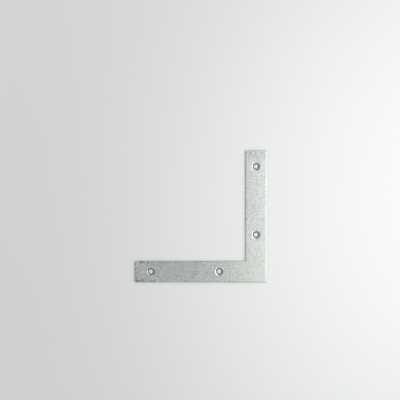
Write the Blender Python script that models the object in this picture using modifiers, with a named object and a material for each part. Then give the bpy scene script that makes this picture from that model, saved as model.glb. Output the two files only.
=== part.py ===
"""Flat corner brace: one blanked steel plate with two equal legs at a right angle.

Metres, +Z up. The back face lies on Z = 0 and the countersunk face looks up. The origin is on
the back face, where the centre lines of the legs cross. One leg runs along -X, the other
along +Y.
"""

import math

import bmesh
import bpy
from mathutils import Vector

# Plate
LEG_LENGTH = 0.125  # from the outer corner to the leg's end, along its outer edge
LEG_WIDTH = 0.020
THICKNESS = 0.002
OUTER_CORNER_RADIUS = 0.0010
LEG_END_RADIUS = 0.0010
INNER_CORNER_RADIUS = 0.0004

# Rolled-over upper edge, where the blanking tool drew the sheet down before it sheared
EDGE_ROLL_WIDTH = 0.00085
EDGE_ROLL_DEPTH = 0.0003

# Screw holes, on the centre line of each leg
HOLES_PER_LEG = 2
HOLE_TO_END = 0.015
HOLE_SPACING = 0.065
HOLE_DIAMETER = 0.0045
COUNTERSINK_DIAMETER = 0.0088  # where the rounded lip meets the face
COUNTERSINK_ANGLE = math.radians(90.0)
LIP_RADIUS = 0.0021

# Finish
ZINC_COLOUR = (205, 213, 209)  # sRGB, 0 to 255
ZINC_ROUGHNESS = 0.38
ZINC_METALLIC = 1.0

# Facets of the round stretches
CORNER_STEPS = 6
ROLL_STEPS = 5
LIP_STEPS = 5
HOLE_STEPS = 48

# The lip's last step keeps this slope through the face, so that the cut has a clean rim
LIP_RIM_SLOPE = math.radians(7.0)
CUTTER_MARGIN = 0.0010
CUTTER_RIM_RISE = 0.00003

# Mesh work
WELD_DISTANCE = 0.00001
FLAT_ANGLE = math.radians(1.0)  # faces that meet at less than this are one flat face
RIM_ANGLE = math.radians(45.0)  # edges of the blank that are sharper than this are its rim
SHARP_ANGLE = math.radians(40.0)
ROUND_PROFILE = 0.5  # a bevel whose section is an arc


def clear_scene():
    for found in list(bpy.data.objects):
        bpy.data.objects.remove(found, do_unlink=True)


def new_collection(name):
    collection = bpy.data.collections.new(name)
    bpy.context.scene.collection.children.link(collection)
    return collection


def linear(channel):
    share = channel / 255.0
    if share <= 0.04045:
        return share / 12.92
    return ((share + 0.055) / 1.055) ** 2.4


def zinc_material():
    material = bpy.data.materials.new("zinc_plated_steel")
    material.use_nodes = True
    shader = material.node_tree.nodes["Principled BSDF"]
    shader.inputs["Base Color"].default_value = (*map(linear, ZINC_COLOUR), 1.0)
    shader.inputs["Metallic"].default_value = ZINC_METALLIC
    shader.inputs["Roughness"].default_value = ZINC_ROUGHNESS
    return material


def plate_corners():
    """The six corners of the L with their radii, counter-clockwise from the outer corner."""
    near = LEG_WIDTH / 2
    far = LEG_LENGTH - near
    return [
        (Vector((near, -near)), OUTER_CORNER_RADIUS),
        (Vector((near, far)), LEG_END_RADIUS),
        (Vector((-near, far)), LEG_END_RADIUS),
        (Vector((-near, near)), INNER_CORNER_RADIUS),
        (Vector((-far, near)), LEG_END_RADIUS),
        (Vector((-far, -near)), LEG_END_RADIUS),
    ]


def rounded(corners):
    """The closed outline through the corners, each replaced by its arc."""
    points = []
    for index, (corner, radius) in enumerate(corners):
        before = (corners[index - 1][0] - corner).normalized()
        after = (corners[(index + 1) % len(corners)][0] - corner).normalized()
        half_angle = before.angle(after) / 2
        centre = corner + (before + after).normalized() * (radius / math.sin(half_angle))
        tangent = radius / math.tan(half_angle)
        first = (corner + before * tangent - centre).normalized()
        last = (corner + after * tangent - centre).normalized()
        for step in range(CORNER_STEPS + 1):
            points.append(centre + first.slerp(last, step / CORNER_STEPS) * radius)
    return points


def filled_plate(points, half_thickness):
    """A flat outline, filled and extruded both ways from Z = 0, as a curve object."""
    curve = bpy.data.curves.new("plate_outline", "CURVE")
    curve.dimensions = "2D"
    curve.fill_mode = "BOTH"
    curve.extrude = half_thickness
    spline = curve.splines.new("POLY")
    spline.points.add(len(points) - 1)
    for target, point in zip(spline.points, points):
        target.co = (point.x, point.y, 0.0, 1.0)
    spline.use_cyclic_u = True
    return bpy.data.objects.new("plate_outline", curve)


def curve_to_mesh(curve_object, name, collection):
    """A mesh object in the curve's place, with its caps welded to its sides."""
    collection.objects.link(curve_object)
    bpy.context.view_layer.update()
    graph = bpy.context.evaluated_depsgraph_get()
    mesh = bpy.data.meshes.new_from_object(curve_object.evaluated_get(graph))
    mesh.name = name
    made = bpy.data.objects.new(name, mesh)
    made.matrix_world = curve_object.matrix_world.copy()
    collection.objects.link(made)
    bpy.data.objects.remove(curve_object, do_unlink=True)

    work = bmesh.new()
    work.from_mesh(mesh)
    bmesh.ops.remove_doubles(work, verts=work.verts, dist=WELD_DISTANCE)
    bmesh.ops.dissolve_limit(work, angle_limit=FLAT_ANGLE, verts=[], edges=work.edges)
    bmesh.ops.recalc_face_normals(work, faces=work.faces)
    work.to_mesh(mesh)
    work.free()
    return made


def roll_upper_edges(plate, width, flatness):
    """Rounds the upper rim, then flattens the plate to its thickness and stands it on Z = 0.

    The plate comes in stretched in Z, so an even bevel turns into a roll that is wider on the
    face than it is deep on the edge.
    """
    work = bmesh.new()
    work.from_mesh(plate.data)
    rim = [
        edge
        for edge in work.edges
        if all(vert.co.z > 0.0 for vert in edge.verts) and edge.calc_face_angle() > RIM_ANGLE
    ]
    bmesh.ops.bevel(
        work,
        geom=rim,
        offset=width,
        offset_type="OFFSET",
        segments=ROLL_STEPS,
        profile=ROUND_PROFILE,
        affect="EDGES",
    )
    bmesh.ops.scale(work, vec=(1.0, 1.0, flatness), verts=work.verts)
    bmesh.ops.translate(work, vec=(0.0, 0.0, THICKNESS / 2), verts=work.verts)
    work.to_mesh(plate.data)
    work.free()


def hole_profile():
    """Outer side of the countersink cutter from top to bottom, as (radius, height) points."""
    cone_slope = math.pi / 2 - COUNTERSINK_ANGLE / 2
    lip_centre = (COUNTERSINK_DIAMETER / 2, THICKNESS - LIP_RADIUS)
    lip = []
    for step in range(LIP_STEPS + 1):
        slope = LIP_RIM_SLOPE + (cone_slope - LIP_RIM_SLOPE) * step / LIP_STEPS
        lip.append(
            (
                lip_centre[0] - LIP_RADIUS * math.sin(slope),
                lip_centre[1] + LIP_RADIUS * math.cos(slope),
            )
        )
    rim_height = THICKNESS + CUTTER_RIM_RISE
    rim_radius = lip[0][0] + (rim_height - lip[0][1]) / math.tan(LIP_RIM_SLOPE)
    hole_radius = HOLE_DIAMETER / 2
    land_height = lip[-1][1] - (lip[-1][0] - hole_radius) * math.tan(cone_slope)
    bottom = min(land_height, 0.0) - CUTTER_MARGIN
    top = THICKNESS + CUTTER_MARGIN
    return [
        (0.0, top),
        (rim_radius, top),
        (rim_radius, rim_height),
        *lip,
        (hole_radius, land_height),
        (hole_radius, bottom),
        (0.0, bottom),
    ]


def countersink_mesh():
    profile = hole_profile()
    mesh = bpy.data.meshes.new("countersink_profile")
    edges = [(index, index + 1) for index in range(len(profile) - 1)]
    mesh.from_pydata([(radius, 0.0, height) for radius, height in profile], edges, [])
    return mesh


def hole_places():
    """Centres of the screw holes, leg by leg, from the leg's end towards the corner."""
    reach = LEG_LENGTH - LEG_WIDTH / 2 - HOLE_TO_END
    along = [reach - HOLE_SPACING * index for index in range(HOLES_PER_LEG)]
    return [Vector((-distance, 0.0, 0.0)) for distance in along] + [
        Vector((0.0, distance, 0.0)) for distance in along
    ]


def countersink_cutter(name, mesh, place, collection):
    cutter = bpy.data.objects.new(name, mesh)
    cutter.location = place
    cutter.hide_render = True
    cutter.display_type = "WIRE"
    collection.objects.link(cutter)
    turn = cutter.modifiers.new("Turn", "SCREW")
    turn.axis = "Z"
    turn.angle = math.tau
    turn.steps = HOLE_STEPS
    turn.render_steps = HOLE_STEPS
    turn.use_merge_vertices = True
    turn.merge_threshold = WELD_DISTANCE
    turn.use_smooth_shade = True
    return cutter


def cut(plate, cutter):
    difference = plate.modifiers.new(cutter.name, "BOOLEAN")
    difference.operation = "DIFFERENCE"
    difference.solver = "EXACT"
    difference.object = cutter


def build():
    clear_scene()
    parts = new_collection("flat_corner_brace")
    cutters = new_collection("cutters")

    flatness = EDGE_ROLL_DEPTH / EDGE_ROLL_WIDTH
    outline = filled_plate(rounded(plate_corners()), THICKNESS / 2 / flatness)
    plate = curve_to_mesh(outline, "corner_brace", parts)
    roll_upper_edges(plate, EDGE_ROLL_WIDTH, flatness)
    plate.data.materials.append(zinc_material())
    plate.data.shade_smooth()
    plate.data.set_sharp_from_angle(angle=SHARP_ANGLE)

    profile = countersink_mesh()
    for number, place in enumerate(hole_places(), start=1):
        cut(plate, countersink_cutter(f"countersink_{number}", profile, place, cutters))
    normals = plate.modifiers.new("Flat faces stay flat", "WEIGHTED_NORMAL")
    normals.keep_sharp = True


build()
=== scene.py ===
import math

import bpy
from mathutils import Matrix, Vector


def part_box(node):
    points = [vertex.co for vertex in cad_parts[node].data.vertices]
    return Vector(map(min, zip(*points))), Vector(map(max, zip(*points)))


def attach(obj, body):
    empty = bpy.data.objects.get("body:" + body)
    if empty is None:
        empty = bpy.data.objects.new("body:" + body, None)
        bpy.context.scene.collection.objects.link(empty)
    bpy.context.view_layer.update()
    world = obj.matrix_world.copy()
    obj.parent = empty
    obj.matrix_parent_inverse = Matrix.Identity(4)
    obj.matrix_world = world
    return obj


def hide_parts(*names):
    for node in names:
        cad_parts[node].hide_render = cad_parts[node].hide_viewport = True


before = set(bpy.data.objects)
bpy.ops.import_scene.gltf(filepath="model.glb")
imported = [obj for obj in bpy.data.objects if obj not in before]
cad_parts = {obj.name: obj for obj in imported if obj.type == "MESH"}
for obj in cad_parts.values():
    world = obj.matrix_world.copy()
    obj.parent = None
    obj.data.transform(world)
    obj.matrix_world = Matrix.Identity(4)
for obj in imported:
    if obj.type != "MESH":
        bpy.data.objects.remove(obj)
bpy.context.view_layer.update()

# Metres all through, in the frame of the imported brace: the back face lies on Z = 0, the
# countersunk face looks up, and the centre lines of the legs cross at the origin.
millimetre = 0.001
micrometre = 0.000001
noiseSpan = (0.3, 0.7)  # where nearly all the values of a noise texture lie
low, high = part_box("corner_brace")
print("frame: a brace of", [round(side / millimetre, 2) for side in high - low], "mm")


def addNode(tree, kind, links=None, **settings):
    # settings are the node's own; links go by socket name or number, to a value, node or output
    node = tree.nodes.new(kind)
    for name, value in settings.items():
        setattr(node, name, value)
    for socket, value in (links or {}).items():
        target = node.inputs[socket]
        if isinstance(value, bpy.types.Node):
            value = value.outputs[0]
        if isinstance(value, bpy.types.NodeSocket):
            tree.links.new(value, target)
        else:
            target.default_value = value
    return node


def worked(tree, operation, *values):
    # one sum on numbers, sockets or nodes
    return addNode(tree, "ShaderNodeMath", dict(enumerate(values)), operation=operation)


def ranged(tree, value, fromLow, fromHigh, toLow=0.0, toHigh=1.0):
    # eases from toLow to toHigh as the value goes from fromLow to fromHigh
    return addNode(
        tree,
        "ShaderNodeMapRange",
        {
            "Value": value,
            "From Min": fromLow,
            "From Max": fromHigh,
            "To Min": toLow,
            "To Max": toHigh,
        },
        interpolation_type="SMOOTHSTEP",
    )


def linearColour(hexColour):
    # sRGB hex to the linear values that the shaders take
    channels = [int(hexColour[place : place + 2], 16) / 255 for place in (1, 3, 5)]
    linear = [c / 12.92 if c <= 0.04045 else ((c + 0.055) / 1.055) ** 2.4 for c in channels]
    return (*linear, 1.0)


# The plate, blanked and pierced from sheet and coined at its holes

plateInputs = {
    "Leg length": high.x - low.x,
    "Leg width": 2 * high.x,
    "Thickness": high.z - low.z,
    "Outer corner radius": 1.0 * millimetre,
    "Leg end radius": 1.0 * millimetre,
    "Inner corner radius": 0.4 * millimetre,
    "Roll width": 0.85 * millimetre,  # how far the drawn-down edge reaches in over the face
    "Roll depth": 0.3 * millimetre,
    "Burnish foot": 1.15 * millimetre,  # above this height the shear cut clean, below it tore
    "Burnish swing": 0.3 * millimetre,  # how unevenly that line runs
    "Burnish swing size": 3.0 * millimetre,
    "Burnish swing reach": 0.5 * millimetre,  # how far up and down the wall moves with that line
    "Tear inset": 0.07 * millimetre,  # how far the torn part leans in at the back face
    "Tear grain": 0.04 * millimetre,
    "Tear grain size": 0.5 * millimetre,
    "Arris radius": 0.06 * millimetre,
    "Arris tear": 0.5,  # how torn the arris looks, where the torn wall is 1
    "Edge wander": 0.05 * millimetre,  # slow in and out of the sheared edge
    "Edge wander size": 14.0 * millimetre,
    "Nick depth": 0.16 * millimetre,
    "Nick size": 1.5 * millimetre,
    "Nick onset": 0.62,  # only the noise's peaks make a nick, from here to its full depth
    "Nick full": 0.8,
    "Hole to end": 15.0 * millimetre,
    "Hole spacing": 65.0 * millimetre,
    "Hole diameter": 4.5 * millimetre,
    "Seat diameter": 8.8 * millimetre,  # where the rounded lip meets the face
    "Lip radius": 2.1 * millimetre,
    "Bore flare": 0.06 * millimetre,  # the pierced hole breaks out a little wider at the back
    "Bore tear": 0.5,  # the share of the bore's height that broke out
    "Land": 0.05 * millimetre,  # a strip of flat face beside each roll, lip and arris
    "Point spacing": 0.5 * millimetre,  # along the edges
    "Corner steps": 10,
    "Roll steps": 8,  # across the rolled edge, and across each lip
    "Wall steps": 8,  # down each wall and cone
    "Arris steps": 3,
    "Bore steps": 2,
    "Break-out steps": 3,
    "Seat steps": 112,  # round each hole
    "Seed": 7,
}
seatSlope = math.radians(45.0)  # a 90 degree countersink
quarterTurn = math.pi / 2
weldGap = 1.0 * micrometre
straightSpan = (0.99, 0.999)  # from bend to straight, by how nearly the edge runs along X or Y


def emptyPlateTree():
    tree = bpy.data.node_groups.new("Blanked corner plate", "GeometryNodeTree")
    for label, value in plateInputs.items():
        kind = "NodeSocketInt" if isinstance(value, int) else "NodeSocketFloat"
        socket = tree.interface.new_socket(label, in_out="INPUT", socket_type=kind)
        socket.default_value = value
    tree.interface.new_socket("Finish", in_out="INPUT", socket_type="NodeSocketMaterial")
    tree.interface.new_socket("Geometry", in_out="OUTPUT", socket_type="NodeSocketGeometry")
    return tree


def lumps(tree, sizes, size, shift):
    # noise from 0 to 1 at each point's place, with lumps of the named size
    return addNode(
        tree,
        "ShaderNodeTexNoise",
        {
            "Vector": addNode(tree, "GeometryNodeInputPosition"),
            "W": worked(tree, "ADD", sizes["Seed"], shift + 0.4),  # off the noise's grid
            "Scale": worked(tree, "DIVIDE", 1.0, sizes[size]),
            "Detail": 2.0,
        },
        noise_dimensions="4D",
    )


def pointAt(tree, x=0.0, y=0.0, z=0.0):
    return addNode(tree, "ShaderNodeCombineXYZ", {"X": x, "Y": y, "Z": z})


def named(tree, name, kind="FLOAT"):
    return addNode(tree, "GeometryNodeInputNamedAttribute", {"Name": name}, data_type=kind)


def marked(tree, geometry, name, value, kind="FLOAT"):
    return addNode(
        tree,
        "GeometryNodeStoreNamedAttribute",
        {"Geometry": geometry, "Name": name, "Value": value},
        data_type=kind,
        domain="POINT",
    )


def joined(tree, parts):
    join = addNode(tree, "GeometryNodeJoinGeometry")
    for part in parts:
        tree.links.new(part.outputs[0], join.inputs[0])
    return join


def movedIn(tree, geometry, outward, amount):
    # into the metal only, so that the plate never grows past its real size
    back = worked(tree, "MULTIPLY", amount, -1.0)
    offset = addNode(tree, "ShaderNodeVectorMath", {0: outward, "Scale": back}, operation="SCALE")
    return addNode(tree, "GeometryNodeSetPosition", {"Geometry": geometry, "Offset": offset})


def legOutline(tree, sizes):
    # the L as a closed curve, counter-clockwise, its corners rounded and its straights divided
    near = worked(tree, "DIVIDE", sizes["Leg width"], 2.0)
    far = worked(tree, "SUBTRACT", sizes["Leg length"], near)
    backNear, backFar = [worked(tree, "MULTIPLY", side, -1.0) for side in (near, far)]
    corners = [
        (near, backNear, "Outer corner radius"),
        (near, far, "Leg end radius"),
        (backNear, far, "Leg end radius"),
        (backNear, near, "Inner corner radius"),
        (backFar, near, "Leg end radius"),
        (backFar, backNear, "Leg end radius"),
    ]
    index = addNode(tree, "GeometryNodeInputIndex")
    places = addNode(tree, "GeometryNodeIndexSwitch", {0: index}, data_type="VECTOR")
    radii = addNode(tree, "GeometryNodeIndexSwitch", {0: index}, data_type="FLOAT")
    for number, (x, y, radius) in enumerate(corners, start=1):
        if number > 2:
            places.index_switch_items.new()
            radii.index_switch_items.new()
        tree.links.new(pointAt(tree, x, y).outputs[0], places.inputs[number])
        tree.links.new(sizes[radius], radii.inputs[number])
    points = addNode(tree, "GeometryNodePoints", {"Count": len(corners), "Position": places})
    curve = addNode(tree, "GeometryNodePointsToCurves", {"Points": points})
    closed = addNode(tree, "GeometryNodeSetSplineCyclic", {"Geometry": curve, "Cyclic": True})
    rounded = addNode(
        tree,
        "GeometryNodeFilletCurve",
        {"Curve": closed, "Count": sizes["Corner steps"], "Radius": radii},
        mode="POLY",
    )
    here = addNode(tree, "GeometryNodeInputPosition")
    following = addNode(
        tree, "GeometryNodeOffsetPointInCurve", {"Point Index": index, "Offset": 1}
    )
    there = addNode(
        tree,
        "GeometryNodeFieldAtIndex",
        {"Value": here, "Index": following.outputs["Point Index"]},
        data_type="FLOAT_VECTOR",
        domain="POINT",
    )
    run = addNode(tree, "ShaderNodeVectorMath", {0: here, 1: there}, operation="DISTANCE")
    cuts = worked(tree, "DIVIDE", run.outputs["Value"], sizes["Point spacing"])
    divided = addNode(tree, "GeometryNodeSubdivideCurve", {"Curve": rounded, "Cuts": cuts})
    return addNode(tree, "GeometryNodeSetCurveNormal", {"Curve": divided}, mode="Z_UP")


def wornOutline(tree, sizes):
    # the shear wandered a little and nicked the straights, always into the metal
    tangent = addNode(tree, "GeometryNodeInputTangent")
    outward = addNode(
        tree, "ShaderNodeVectorMath", {0: tangent, 1: (0.0, 0.0, 1.0)}, operation="CROSS_PRODUCT"
    )
    steep = addNode(tree, "ShaderNodeVectorMath", {0: tangent}, operation="ABSOLUTE")
    ways = addNode(tree, "ShaderNodeSeparateXYZ", {0: steep}).outputs
    straight = ranged(tree, worked(tree, "MAXIMUM", ways["X"], ways["Y"]), *straightSpan)
    wander = worked(
        tree, "MULTIPLY", lumps(tree, sizes, "Edge wander size", 0.0), sizes["Edge wander"]
    )
    peaks = lumps(tree, sizes, "Nick size", 3.0)
    nicks = ranged(tree, peaks, sizes["Nick onset"], sizes["Nick full"])
    deep = worked(tree, "MULTIPLY", nicks, sizes["Nick depth"])
    inward = worked(tree, "MULTIPLY_ADD", deep, straight, wander)
    kept = marked(tree, legOutline(tree, sizes), "outward", outward, kind="FLOAT_VECTOR")
    return movedIn(tree, kept, named(tree, "outward", "FLOAT_VECTOR"), inward)


def straightBand(tree, start, end, steps=1):
    # part of a section, from (out, up) to (out, up)
    line = addNode(
        tree,
        "GeometryNodeCurvePrimitiveLine",
        {"Start": pointAt(tree, *start), "End": pointAt(tree, *end)},
    )
    points = worked(tree, "ADD", steps, 1.0)
    return addNode(tree, "GeometryNodeResampleCurve", {"Curve": line, "Count": points})


def roundBand(tree, centre, halfWidth, halfHeight, fromAngle, toAngle, steps):
    # part of a section, round a quarter or less of an ellipse
    arc = addNode(
        tree,
        "GeometryNodeCurveArc",
        {
            "Resolution": worked(tree, "ADD", steps, 1.0),
            "Radius": 1.0,
            "Start Angle": fromAngle,
            "Sweep Angle": toAngle - fromAngle,
        },
        mode="RADIUS",
    )
    return addNode(
        tree,
        "GeometryNodeTransform",
        {
            "Geometry": arc,
            "Translation": pointAt(tree, *centre),
            "Scale": pointAt(tree, halfWidth, halfHeight, 1.0),
        },
    )


def swept(tree, rail, bands):
    # each band is carried along the rail and marked with how its surface was made; a rail
    # carries a section's height downwards, so the section is turned over first
    made = []
    for section, marks in bands:
        upright = addNode(
            tree, "GeometryNodeTransform", {"Geometry": section, "Rotation": (math.pi, 0.0, 0.0)}
        )
        band = addNode(
            tree, "GeometryNodeCurveToMesh", {"Curve": rail, "Profile Curve": upright}
        )
        for name, value in marks.items():
            band = marked(tree, band, name, value)
        made.append(band)
    return joined(tree, made)


def shearedEdge(tree, sizes):
    # from the face down: rolled-over edge, burnished band, torn band and the back arris
    top, foot, arris, land = [
        sizes[name] for name in ("Thickness", "Burnish foot", "Arris radius", "Land")
    ]
    rollFoot = worked(tree, "SUBTRACT", top, sizes["Roll depth"])
    rollStart = worked(tree, "MULTIPLY", sizes["Roll width"], -1.0)
    faceEdge = worked(tree, "SUBTRACT", rollStart, land)
    tearFoot = worked(tree, "MULTIPLY", sizes["Tear inset"], -1.0)
    arrisEnd = worked(tree, "SUBTRACT", tearFoot, arris)
    backEdge = worked(tree, "SUBTRACT", arrisEnd, land)
    roll = roundBand(
        tree,
        (rollStart, rollFoot),
        sizes["Roll width"],
        sizes["Roll depth"],
        quarterTurn,
        0.0,
        sizes["Roll steps"],
    )
    arrisBand = roundBand(
        tree, (arrisEnd, arris), arris, arris, 0.0, -quarterTurn, sizes["Arris steps"]
    )
    cleanWall = straightBand(tree, (0.0, rollFoot), (0.0, foot), sizes["Wall steps"])
    tornWall = straightBand(tree, (0.0, foot), (tearFoot, arris), sizes["Wall steps"])
    bands = [
        (straightBand(tree, (faceEdge, top), (rollStart, top)), {}),
        (roll, {"rubbed": 1.0}),
        (cleanWall, {"burnished": 1.0}),
        (tornWall, {"torn": 1.0}),
        (arrisBand, {"torn": sizes["Arris tear"]}),
        (straightBand(tree, (arrisEnd, 0.0), (backEdge, 0.0)), {}),
    ]
    return swept(tree, wornOutline(tree, sizes), bands)


def screwSeat(tree, sizes):
    # one hole about the origin, as out from the bore's wall and up: lip, cone, bore, torn end
    top, lip, flare, land = [
        sizes[name] for name in ("Thickness", "Lip radius", "Bore flare", "Land")
    ]
    bore = worked(tree, "DIVIDE", sizes["Hole diameter"], 2.0)
    seat = worked(tree, "DIVIDE", sizes["Seat diameter"], 2.0)
    rim = worked(tree, "SUBTRACT", seat, bore)
    lipMiddle = worked(tree, "SUBTRACT", top, lip)
    coneTop = (
        worked(tree, "MULTIPLY_ADD", lip, -math.sin(seatSlope), rim),
        worked(tree, "MULTIPLY_ADD", lip, math.cos(seatSlope), lipMiddle),
    )
    coneFoot = worked(tree, "MULTIPLY_ADD", coneTop[0], -math.tan(seatSlope), coneTop[1])
    tearTop = worked(tree, "MULTIPLY", coneFoot, sizes["Bore tear"])
    rimEdge, flareEdge = [worked(tree, "ADD", edge, land) for edge in (rim, flare)]
    lipBand = roundBand(
        tree, (rim, lipMiddle), lip, lip, quarterTurn, quarterTurn + seatSlope, sizes["Roll steps"]
    )
    cone = straightBand(tree, coneTop, (0.0, coneFoot), sizes["Wall steps"])
    boreWall = straightBand(tree, (0.0, coneFoot), (0.0, tearTop), sizes["Bore steps"])
    breakOut = straightBand(tree, (0.0, tearTop), (flare, 0.0), sizes["Break-out steps"])
    bands = [
        (straightBand(tree, (rimEdge, top), (rim, top)), {}),
        (lipBand, {"rubbed": 1.0}),
        (cone, {"coined": 1.0}),
        (boreWall, {"coined": 1.0}),
        (breakOut, {"coined": 1.0, "torn": 1.0}),
        (straightBand(tree, (flare, 0.0), (flareEdge, 0.0)), {}),
    ]
    circle = addNode(
        tree,
        "GeometryNodeCurvePrimitiveCircle",
        {"Resolution": sizes["Seat steps"], "Radius": bore},
        mode="RADIUS",
    )
    rail = addNode(tree, "GeometryNodeSetCurveNormal", {"Curve": circle}, mode="Z_UP")
    wall = addNode(tree, "GeometryNodeFlipFaces", {"Mesh": swept(tree, rail, bands)})
    place = addNode(tree, "GeometryNodeInputPosition")
    level = addNode(
        tree, "ShaderNodeVectorMath", {0: place, 1: (-1.0, -1.0, 0.0)}, operation="MULTIPLY"
    )
    radius = addNode(tree, "ShaderNodeVectorMath", {0: level}, operation="LENGTH")
    toAxis = addNode(tree, "ShaderNodeVectorMath", {0: level}, operation="NORMALIZE")
    ringed = marked(tree, wall, "fromAxis", radius.outputs["Value"])
    return marked(tree, ringed, "outward", toAxis, kind="FLOAT_VECTOR")


def holePlaces(tree, sizes):
    # on the centre line of each leg, the same along both
    halfWidth = worked(tree, "DIVIDE", sizes["Leg width"], 2.0)
    reach = worked(tree, "SUBTRACT", sizes["Leg length"], halfWidth)
    endHole = worked(tree, "SUBTRACT", reach, sizes["Hole to end"])
    innerHole = worked(tree, "SUBTRACT", endHole, sizes["Hole spacing"])
    centres = []
    for along in (endHole, innerHole):
        back = worked(tree, "MULTIPLY", along, -1.0)
        centres += [pointAt(tree, x=back), pointAt(tree, y=along)]
    return joined(
        tree,
        [addNode(tree, "GeometryNodePoints", {"Count": 1, "Position": at}) for at in centres],
    )


def tornWalls(tree, sizes, walls):
    # grain where the steel tore, and an uneven line where the clean shear ends
    grain = worked(
        tree, "MULTIPLY", lumps(tree, sizes, "Tear grain size", 5.0), sizes["Tear grain"]
    )
    inward = worked(tree, "MULTIPLY", grain, named(tree, "torn"))
    grained = movedIn(tree, walls, named(tree, "outward", "FLOAT_VECTOR"), inward)
    place = addNode(tree, "GeometryNodeInputPosition")
    height = addNode(tree, "ShaderNodeSeparateXYZ", {0: place}).outputs["Z"]
    gap = worked(tree, "ABSOLUTE", worked(tree, "SUBTRACT", height, sizes["Burnish foot"]))
    nearness = ranged(tree, gap, 0.0, sizes["Burnish swing reach"], 1.0, 0.0)
    waves = lumps(tree, sizes, "Burnish swing size", 8.0)
    swing = ranged(tree, waves, *noiseSpan, -0.5, 0.5)
    moved = worked(tree, "MULTIPLY", swing, nearness)
    rise = worked(tree, "MULTIPLY", moved, sizes["Burnish swing"])
    outerWall = addNode(
        tree,
        "FunctionNodeCompare",
        {0: named(tree, "fromAxis"), 1: sizes["Land"]},
        operation="LESS_THAN",
        data_type="FLOAT",
    )
    return addNode(
        tree,
        "GeometryNodeSetPosition",
        {"Geometry": grained, "Selection": outerWall, "Offset": pointAt(tree, z=rise)},
    )


def flatFace(tree, walls, thickness, isTop):
    # fills a flat face between the plate's rim and the rims of its holes; a comparison of whole
    # numbers takes them at its sockets 2 and 3
    middle = worked(tree, "DIVIDE", thickness, 2.0)
    place = addNode(tree, "GeometryNodeInputPosition")
    height = addNode(tree, "ShaderNodeSeparateXYZ", {0: place}).outputs["Z"]
    thisSide = addNode(
        tree,
        "FunctionNodeCompare",
        {0: height, 1: middle},
        operation="GREATER_THAN" if isTop else "LESS_THAN",
        data_type="FLOAT",
    )
    openEdge = addNode(
        tree,
        "FunctionNodeCompare",
        {2: addNode(tree, "GeometryNodeInputMeshEdgeNeighbors"), 3: 1},
        operation="EQUAL",
        data_type="INT",
    )
    rims = addNode(tree, "FunctionNodeBooleanMath", {0: thisSide, 1: openEdge}, operation="AND")
    curves = addNode(tree, "GeometryNodeMeshToCurve", {"Mesh": walls, "Selection": rims})
    filled = addNode(tree, "GeometryNodeFillCurve", {"Curve": curves}, mode="TRIANGLES")
    if not isTop:
        return addNode(tree, "GeometryNodeFlipFaces", {"Mesh": filled})
    lift = pointAt(tree, z=thickness)
    return addNode(tree, "GeometryNodeTransform", {"Geometry": filled, "Translation": lift})


def plateTree():
    tree = emptyPlateTree()
    entry = addNode(tree, "NodeGroupInput")
    sizes = {socket.name: socket for socket in entry.outputs if socket.name}
    seats = addNode(
        tree,
        "GeometryNodeInstanceOnPoints",
        {"Points": holePlaces(tree, sizes), "Instance": screwSeat(tree, sizes)},
    )
    realSeats = addNode(tree, "GeometryNodeRealizeInstances", {"Geometry": seats})
    walls = addNode(
        tree,
        "GeometryNodeMergeByDistance",
        {"Geometry": joined(tree, [shearedEdge(tree, sizes), realSeats]), "Distance": weldGap},
    )
    worn = tornWalls(tree, sizes, walls)
    faces = [flatFace(tree, worn, sizes["Thickness"], isTop) for isTop in (True, False)]
    closed = addNode(
        tree,
        "GeometryNodeMergeByDistance",
        {"Geometry": joined(tree, [worn, *faces]), "Distance": weldGap},
    )
    clean = addNode(tree, "GeometryNodeRemoveAttribute", {"Geometry": closed, "Name": "outward"})
    smooth = addNode(tree, "GeometryNodeSetShadeSmooth", {"Geometry": clean})
    real = addNode(tree, "GeometryNodeRealizeInstances", {"Geometry": smooth})
    finished = addNode(
        tree, "GeometryNodeSetMaterial", {"Geometry": real, "Material": sizes["Finish"]}
    )
    addNode(tree, "NodeGroupOutput", {0: finished})
    return tree


def buildPlate(material):
    tree = plateTree()
    holder = bpy.data.objects.new("plateHolder", bpy.data.meshes.new("plateHolder"))
    bpy.context.scene.collection.objects.link(holder)
    modifier = holder.modifiers.new("Blanked corner plate", "NODES")
    modifier.node_group = tree
    values = {**plateInputs, "Finish": material}
    for socket in tree.interface.items_tree:
        if socket.in_out == "INPUT":
            modifier[socket.identifier] = values[socket.name]
    graph = bpy.context.evaluated_depsgraph_get()
    mesh = bpy.data.meshes.new_from_object(holder.evaluated_get(graph))
    holder.modifiers.remove(modifier)
    bpy.data.objects.remove(holder, do_unlink=True)
    plate = bpy.data.objects.new("zinc_plated_plate", mesh)
    bpy.context.scene.collection.objects.link(plate)
    print("plate:", len(mesh.vertices), "points,", len(mesh.polygons), "faces")
    return plate


# The zinc finish

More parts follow.
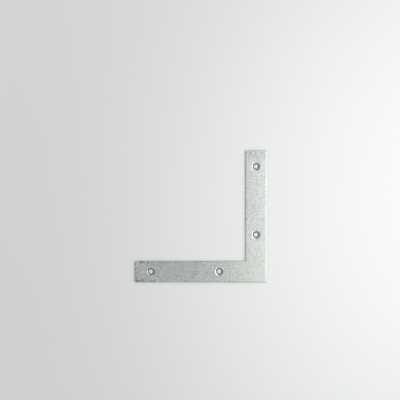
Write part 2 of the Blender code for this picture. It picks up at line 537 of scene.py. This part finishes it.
# Sizes are in millimetres and heights in micrometres. A shade is what the lightest grains add
# to the colour's factor. An onset is where a noise's values start to show and where they show
# fully, and an amount is how much of the colour and roughness it then brings.
zincLook = {
    "pale": "#cad0ca",  # the passivated zinc, where it leans to green
    "blue": "#c7cecd",  # and where it leans to blue
    "blueOnset": (0.42, 0.62),
    "straw": "#ccd0c7",  # and to straw
    "strawOnset": (0.5, 0.7),
    "strawAmount": 0.7,
    "dull": "#b6bdbc",  # tarnished patches
    "dullOnset": (0.52, 0.75),
    "dullAmount": 0.25,
    "speck": "#6f7678",
    "fleck": "#757f88",  # thin, bluish spots near the legs' ends; those at the end of the leg along +Y are a painted shadow
    "rubbed": "#d6dcd9",  # rolled edges and lips, polished by handling
    "rubbedRoughness": 0.2,
    "rubbedOnset": (0.35, 0.6),  # from the clear stretches to the patches
    "rubbedAmounts": (0.7, 0.4),
    "rubbedAtShadedEnd": 0.1,  # the share of that polish left at the end of the leg along -X; taking the rest away paints shade there
    "scratchedAmount": 0.45,
    "burnished": "#cdd3d0",  # the clean part of the sheared walls
    "burnishedRoughness": 0.24,
    "burnishedAmount": 0.7,
    "torn": "#9ba19f",  # the torn part
    "tornRoughness": 0.54,
    "tornOnset": (0.3, 0.6),  # from its hollows to its grains
    "tornAmounts": (0.95, 0.45),
    "coined": "#5e6466",  # painted shade down in the countersinks and bores
    "coinedRoughness": 0.46,
    "coinedAmounts": (1.0, 0.85),  # between and on the tool's rings
    "darkest": 0.67,  # the colour's factor before any shade is added
    "smoothest": 0.27,
    "driftSize": 48.0,
    "strawSize": 31.0,
    "patchSize": 9.0,
    "patchRoughness": 0.045,
    "grainSize": 0.8,
    "grainHeight": 8.0,
    "grainShade": 0.2,
    "grainRoughness": 0.05,
    "veinSize": 2.4,
    "veinWidth": 0.12,  # how far from its middle value the noise still belongs to a vein
    "veinHeight": 6.0,
    "veinShade": 0.06,
    "crystalSize": 0.8,  # real zinc crystals are far finer: drawn as coarse as the camera sees
    "crystalWobble": 0.9,
    "crystalBlend": 0.3,
    "crystalHeight": 4.0,
    "crystalShade": 0.36,
    "crystalRoughness": 0.13,
    "speckSpacing": 7.0,
    "speckSize": 0.45,
    "speckRim": (0.6, 1.2),  # where a speck starts to fade and where it ends, in its sizes
    "speckOnset": (0.55, 0.9),
    "fleckSize": 1.8,
    "fleckOnset": (0.46, 0.58),
    "fleckReach": 50.0,  # how far along the leg they go, and how far in from its edges
    "fleckMargin": 3.5,
    "fleckInnerAmount": 0.3,  # further in than that
    "shadowFleckReach": 12.0,  # the same for the leg along +Y, and how much they darken it: a painted shadow over that end
    "shadowFleckAmount": 0.55,
    "rollWidth": 0.3,  # lines left by the mill's rolls, along the sheet
    "rollLength": 22.0,
    "rollHeight": 1.2,
    "rollShade": 0.025,
    "scratchAngles": (17.0, 64.0, 118.0, 151.0),  # degrees from the X axis
    "scratchLength": 9.0,
    "scratchSpacing": 1.6,
    "scratchWidth": 0.035,  # in scratch spacings
    "scratchDepth": 3.0,
    "scratchShift": (13.0, 7.0),  # between one direction's scratches and the next one's
    "scratchGapSize": 5.0,
    "scratchGapStretch": 2.5,
    "scratchGapOnset": (0.56, 0.66),
    "tearSize": 0.35,
    "tearHeight": 18.0,
    "dragSize": 0.16,  # marks that the punch dragged down the clean walls
    "dragStretch": 14.0,
    "dragHeight": 2.5,
    "ringSize": 0.14,  # rings that the tool coined round the holes
    "ringHeight": 2.5,
}
plainStretch = (1.0, 1.0, 1.0)
gridLift = 0.43  # in lumps


def mottle(
    tree, place, size, detail=2.0, roughness=0.5, stretch=plainStretch, turn=0.0, shift=0.0
):
    # noise whose lumps are size millimetres across, longer by stretch along X, Y and Z; it is
    # lifted off its own grid, which would otherwise show on the back face, at Z = 0
    mapped = addNode(
        tree,
        "ShaderNodeMapping",
        {
            "Vector": place,
            "Location": (shift, shift, gridLift * size * millimetre),
            "Rotation": (0.0, 0.0, math.radians(turn)),
            "Scale": [1.0 / share for share in stretch],
        },
    )
    return addNode(
        tree,
        "ShaderNodeTexNoise",
        {
            "Vector": mapped,
            "Scale": 1.0 / (size * millimetre),
            "Detail": detail,
            "Roughness": roughness,
        },
    )


def tinted(tree, colour, amount, towards, blend="MIX"):
    # sockets 0, 6 and 7 are the mix node's factor and its two colours
    mix = addNode(
        tree,
        "ShaderNodeMix",
        {0: amount, 6: colour, 7: towards},
        data_type="RGBA",
        blend_type=blend,
    )
    return mix.outputs[2]


def scratchMarks(tree, place):
    # thin cell borders, broken up, in a few directions: marks from tumbling together
    look = zincLook
    total = 0.0
    for number, angle in enumerate(look["scratchAngles"]):
        across, along = [shift * millimetre * number for shift in look["scratchShift"]]
        mapped = addNode(
            tree,
            "ShaderNodeMapping",
            {
                "Vector": place,
                "Location": (across, along, 0.0),
                "Rotation": (0.0, 0.0, math.radians(angle)),
                "Scale": (look["scratchSpacing"] / look["scratchLength"], 1.0, 1.0),
            },
        )
        cells = addNode(
            tree,
            "ShaderNodeTexVoronoi",
            {"Vector": mapped, "Scale": 1.0 / (look["scratchSpacing"] * millimetre)},
            feature="DISTANCE_TO_EDGE",
        )
        line = ranged(tree, cells, 0.0, look["scratchWidth"], 1.0, 0.0)
        gaps = mottle(
            tree,
            place,
            look["scratchGapSize"],
            stretch=(look["scratchGapStretch"], 1.0, 1.0),
            turn=angle,
            shift=0.1 * number,
        )
        kept = worked(tree, "MULTIPLY", line, ranged(tree, gaps, *look["scratchGapOnset"]))
        total = worked(tree, "MAXIMUM", total, kept)
    return total


def speckMarks(tree, place):
    # a few small dark spots, one in some of the cells
    look = zincLook
    cells = addNode(
        tree,
        "ShaderNodeTexVoronoi",
        {"Vector": place, "Scale": 1.0 / (look["speckSpacing"] * millimetre)},
        feature="F1",
    )
    reach = look["speckSize"] / look["speckSpacing"]
    fadeStart, fadeEnd = [reach * share for share in look["speckRim"]]
    spot = ranged(tree, cells, fadeStart, fadeEnd, 1.0, 0.0)
    chosen = addNode(tree, "ShaderNodeSeparateColor", {0: cells.outputs["Color"]})
    return worked(tree, "MULTIPLY", spot, ranged(tree, chosen, *look["speckOnset"]))


def legEndShadeAndFlecks(tree, place):
    # a mask over the end of the leg along -X, where the finish paints shade over the polish, and
    # the flecks there, most of them near its edges; the other leg has fainter ones, only close to
    # its end, which are a painted shadow
    look = zincLook
    ways = addNode(tree, "ShaderNodeSeparateXYZ", {0: place}).outputs
    fromEnd = worked(tree, "SUBTRACT", ways["X"], low.x)
    fromSide = worked(tree, "SUBTRACT", high.x, worked(tree, "ABSOLUTE", ways["Y"]))
    fromEdge = worked(tree, "MINIMUM", fromEnd, fromSide)
    fromOtherEnd = worked(tree, "SUBTRACT", high.y, ways["Y"])
    reach, margin, shadowReach = [
        look[name] * millimetre for name in ("fleckReach", "fleckMargin", "shadowFleckReach")
    ]
    # 1 at the -X end and fading along the leg: where the finish takes back the polish as painted
    # shade
    worn = ranged(tree, fromEnd, 0.0, reach, 1.0, 0.0)
    rim = ranged(tree, fromEdge, 0.0, margin, 1.0, look["fleckInnerAmount"])
    # a painted shadow across the end of the leg along +Y, drawn as faint flecks
    faint = ranged(tree, fromOtherEnd, 0.0, shadowReach, look["shadowFleckAmount"], 0.0)
    share = worked(tree, "MAXIMUM", worked(tree, "MULTIPLY", rim, worn), faint)
    spotNoise = mottle(tree, place, look["fleckSize"], shift=0.7)
    spots = ranged(tree, spotNoise, *look["fleckOnset"])
    return worn, worked(tree, "MULTIPLY", spots, share)


def zincGrain(tree, place, patches):
    # the plating before any wear: how light and how rough it is at each point, and its relief
    look = zincLook
    grain = mottle(tree, place, look["grainSize"], detail=3.0, roughness=0.6)
    veinNoise = mottle(tree, place, look["veinSize"], detail=2.0, roughness=0.6, shift=0.4)
    veins = worked(tree, "ABSOLUTE", worked(tree, "SUBTRACT", veinNoise, 0.5))
    wobble = addNode(
        tree,
        "ShaderNodeVectorMath",
        {0: grain.outputs["Color"], 1: [look["crystalWobble"] * millimetre] * 3, 2: place},
        operation="MULTIPLY_ADD",
    )
    crystals = addNode(
        tree,
        "ShaderNodeTexVoronoi",
        {
            "Vector": wobble,
            "Scale": 1.0 / (look["crystalSize"] * millimetre),
            "Smoothness": look["crystalBlend"],
        },
        feature="SMOOTH_F1",
    )
    crystalShade = addNode(tree, "ShaderNodeSeparateColor", {0: crystals.outputs["Color"]})
    rollLines = mottle(
        tree,
        place,
        look["rollWidth"],
        stretch=(1.0, look["rollLength"] / look["rollWidth"], 1.0),
    )
    # the lighter grains are rougher too, so they show both in a lamp's reflection and beside it
    shade = look["darkest"]
    smooth = look["smoothest"]
    roughness = ranged(tree, patches, *noiseSpan, smooth, smooth + look["patchRoughness"])
    for share, lighter, rougher in (
        (ranged(tree, grain, *noiseSpan), look["grainShade"], look["grainRoughness"]),
        (crystalShade, look["crystalShade"], look["crystalRoughness"]),
        (ranged(tree, veins, 0.0, look["veinWidth"]), look["veinShade"], 0.0),
        (ranged(tree, rollLines, *noiseSpan), look["rollShade"], 0.0),
    ):
        shade = worked(tree, "MULTIPLY_ADD", share, lighter, shade)
        roughness = worked(tree, "MULTIPLY_ADD", share, rougher, roughness)
    relief = [
        (grain, look["grainHeight"]),
        (veins, look["veinHeight"]),
        (crystals, look["crystalHeight"]),
        (rollLines, look["rollHeight"]),
    ]
    return shade, roughness, relief


def zincFinish():
    # zinc electroplated on cold rolled steel and passivated: a satin silver-grey that drifts
    # between blue and straw, with a fine crystal grain that catches the light
    look = zincLook
    material = bpy.data.materials.new("blue_passivated_zinc")
    material.use_nodes = True
    tree = material.node_tree
    shader = tree.nodes["Principled BSDF"]
    shader.inputs["Metallic"].default_value = 1.0
    place = addNode(tree, "ShaderNodeTexCoord").outputs["Object"]
    marks = {
        name: addNode(tree, "ShaderNodeAttribute", attribute_name=name).outputs["Fac"]
        for name in ("rubbed", "burnished", "coined", "torn", "fromAxis")
    }
    drift = mottle(tree, place, look["driftSize"], detail=1.0, shift=0.9)
    straw = mottle(tree, place, look["strawSize"], detail=1.0, shift=0.2)
    patches = mottle(tree, place, look["patchSize"], detail=3.0, roughness=0.55)
    shade, roughness, relief = zincGrain(tree, place, patches)
    scratches = scratchMarks(tree, place)
    worn, flecks = legEndShadeAndFlecks(tree, place)
    tear = mottle(tree, place, look["tearSize"], roughness=0.6)
    drag = mottle(tree, place, look["dragSize"], stretch=(1.0, 1.0, look["dragStretch"]))
    rings = addNode(
        tree,
        "ShaderNodeTexNoise",
        {"W": marks["fromAxis"], "Scale": 1.0 / (look["ringSize"] * millimetre), "Detail": 1.0},
        noise_dimensions="1D",
    )
    colour = linearColour(look["pale"])
    for name, amount in (
        ("blue", ranged(tree, drift, *look["blueOnset"])),
        ("straw", ranged(tree, straw, *look["strawOnset"], 0.0, look["strawAmount"])),
        ("dull", ranged(tree, patches, *look["dullOnset"], 0.0, look["dullAmount"])),
        ("speck", speckMarks(tree, place)),
        ("fleck", flecks),
    ):
        colour = tinted(tree, colour, amount, linearColour(look[name]))
    colour = tinted(tree, colour, 1.0, shade.outputs[0], "MULTIPLY")

    # over the grain lies what was done to it: rubbed bright, burnished, torn or coined; the coined
    # colour and the polish fading towards the -X end are painted shade
    handled = ranged(tree, patches, *look["rubbedOnset"], *look["rubbedAmounts"])
    polish = worked(tree, "MULTIPLY", handled, marks["rubbed"])
    # less polish towards the -X end, which paints shade over the lips and edges there
    polishKept = ranged(tree, worn, 0.0, 1.0, 1.0, look["rubbedAtShadedEnd"])
    tornParts = ranged(tree, tear, *look["tornOnset"], *look["tornAmounts"])
    coinedParts = ranged(tree, rings, *noiseSpan, *look["coinedAmounts"])
    for name, amount in (
        ("rubbed", worked(tree, "MULTIPLY", scratches, look["scratchedAmount"])),
        ("rubbed", worked(tree, "MULTIPLY", polish, polishKept)),
        ("burnished", worked(tree, "MULTIPLY", marks["burnished"], look["burnishedAmount"])),
        ("torn", worked(tree, "MULTIPLY", tornParts, marks["torn"])),
        # the coined colour is painted shade down in the countersinks and bores, broken by the
        # tool's rings
        ("coined", worked(tree, "MULTIPLY", coinedParts, marks["coined"])),
    ):
        colour = tinted(tree, colour, amount, linearColour(look[name]))
        roughness = addNode(
            tree, "ShaderNodeMix", {0: amount, 2: roughness, 3: look[name + "Roughness"]}
        )
    tree.links.new(colour, shader.inputs["Base Color"])
    tree.links.new(roughness.outputs[0], shader.inputs["Roughness"])

    height = 0.0
    for form, amount in relief + [
        (scratches, -look["scratchDepth"]),
        (worked(tree, "MULTIPLY", tear, marks["torn"]), look["tearHeight"]),
        (worked(tree, "MULTIPLY", drag, marks["burnished"]), look["dragHeight"]),
        (worked(tree, "MULTIPLY", rings, marks["coined"]), look["ringHeight"]),
    ]:
        height = worked(tree, "MULTIPLY_ADD", form, amount * micrometre, height)
    bump = addNode(tree, "ShaderNodeBump", {"Height": height, "Strength": 1.0, "Distance": 1.0})
    tree.links.new(bump.outputs[0], shader.inputs["Normal"])
    print("finish: blue passivated zinc,", len(tree.nodes), "nodes")
    return material


plate = buildPlate(zincFinish())
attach(plate, "root")
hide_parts("corner_brace")


# Floor, light and camera

studio = {
    "floorHalf": 20.0,
    "floorColour": "#f1f2f2",
    "floorRoughness": 0.9,
    "floorDrop": 0.02 * millimetre,
    "lampMiddle": (0.2, 0.0, 0.0),  # about where the lamps light the floor most
    "lampReach": (0.3, 0.95),  # between these distances from there their light dies away
    "farGlow": 0.45,  # and what the floor further out is given instead, for the eye alone
    "worldColour": "#f2f4f7",
    "worldStrength": 0.2,
    "softboxes": {  # a size is first the level side, then the other; a glow of 1 is white
        "key": {
            "place": (0.16, 0.08, 0.36),
            "aim": (0.13, 0.08, 0.0),
            "size": (0.6, 0.28),
            "glow": 1.76,
        },
        "strip": {
            "place": (0.42, 0.08, 0.44),
            "aim": (0.0, 0.08, 0.0),
            "size": (0.9, 0.14),
            "glow": 1.9,
        },
        "low": {
            "place": (0.66, 0.10, 0.30),
            "aim": (0.0, 0.10, 0.0),
            "size": (0.5, 0.2),
            "glow": 2.0,
        },
        "fill": {
            "place": (-0.34, 0.0, 0.60),
            "aim": (-0.08, 0.03, 0.0),
            "size": (1.3, 0.5),
            "glow": 0.65,
        },
        "front": {
            "place": (-0.05, -0.75, 0.50),
            "aim": (-0.05, 0.05, 0.0),
            "size": (1.3, 0.6),
            "glow": 0.35,
        },
        "back": {
            "place": (-0.05, 0.95, 0.50),
            "aim": (-0.05, 0.05, 0.0),
            "size": (1.3, 0.6),
            "glow": 0.4,
        },
    },
}


def buildFloor():
    # painted board, matt and nearly white; beyond the lamps' reach it glows for the camera and
    # in reflections only, so that a low view shows no dark horizon
    material = bpy.data.materials.new("pale_board")
    material.use_nodes = True
    tree = material.node_tree
    shader = tree.nodes["Principled BSDF"]
    shader.inputs["Base Color"].default_value = linearColour(studio["floorColour"])
    shader.inputs["Roughness"].default_value = studio["floorRoughness"]
    shader.inputs["Emission Color"].default_value = linearColour(studio["floorColour"])
    place = addNode(tree, "ShaderNodeTexCoord").outputs["Object"]
    distance = addNode(
        tree, "ShaderNodeVectorMath", {0: place, 1: studio["lampMiddle"]}, operation="DISTANCE"
    )
    near, far = studio["lampReach"]
    glow = ranged(tree, distance.outputs["Value"], near, far, 0.0, studio["farGlow"])
    rays = addNode(tree, "ShaderNodeLightPath").outputs
    mirrored = worked(tree, "ADD", rays["Is Glossy Ray"], rays["Is Transmission Ray"])
    seen = worked(tree, "ADD", rays["Is Camera Ray"], mirrored)
    tree.links.new(
        worked(tree, "MULTIPLY", glow, seen).outputs[0], shader.inputs["Emission Strength"]
    )
    half = studio["floorHalf"]
    level = low.z - studio["floorDrop"]
    mesh = bpy.data.meshes.new("floor")
    sides = ((-half, -half), (half, -half), (half, half), (-half, half))
    mesh.from_pydata([(x, y, level) for x, y in sides], [], [(0, 1, 2, 3)])
    mesh.materials.append(material)
    floor = bpy.data.objects.new("floor", mesh)
    bpy.context.scene.collection.objects.link(floor)


def buildLights():
    world = bpy.data.worlds.new("studio")
    world.use_nodes = True
    background = world.node_tree.nodes["Background"]
    background.inputs["Color"].default_value = linearColour(studio["worldColour"])
    background.inputs["Strength"].default_value = studio["worldStrength"]
    bpy.context.scene.world = world
    for name, box in studio["softboxes"].items():
        lamp = bpy.data.lights.new(name, "AREA")
        lamp.shape = "RECTANGLE"
        lamp.size, lamp.size_y = box["size"]
        lamp.energy = box["glow"] * math.pi * lamp.size * lamp.size_y
        lampObject = bpy.data.objects.new(name, lamp)
        lampObject.location = box["place"]
        way = Vector(box["aim"]) - lampObject.location
        lampObject.rotation_euler = way.to_track_quat("-Z", "Y").to_euler()
        lampObject.visible_camera = False
        bpy.context.scene.collection.objects.link(lampObject)


photoView = {
    "side": 400,  # pixels
    "cornerPixel": (266.65, 282.1),  # where the outer corner shows
    "pixelsPerMillimetre": 1.051,
    "distance": 1.0,  # from the lens to the countersunk face
    "sensor": 36.0,
}


def buildCamera():
    # straight above, the brace where the photograph has it
    camera = bpy.data.cameras.new("camera")
    camera.sensor_width = photoView["sensor"]
    across = photoView["side"] / photoView["pixelsPerMillimetre"] * millimetre
    camera.lens = photoView["sensor"] * photoView["distance"] / across
    right, down = [
        (pixel - photoView["side"] / 2) / photoView["pixelsPerMillimetre"] * millimetre
        for pixel in photoView["cornerPixel"]
    ]
    cameraObject = bpy.data.objects.new("camera", camera)
    cameraObject.location = (high.x - right, low.y + down, high.z + photoView["distance"])
    bpy.context.scene.collection.objects.link(cameraObject)
    bpy.context.scene.camera = cameraObject


buildFloor()
buildLights()
buildCamera()
bpy.context.scene.view_settings.view_transform = "Standard"
print("studio: floor, lights and camera in place")
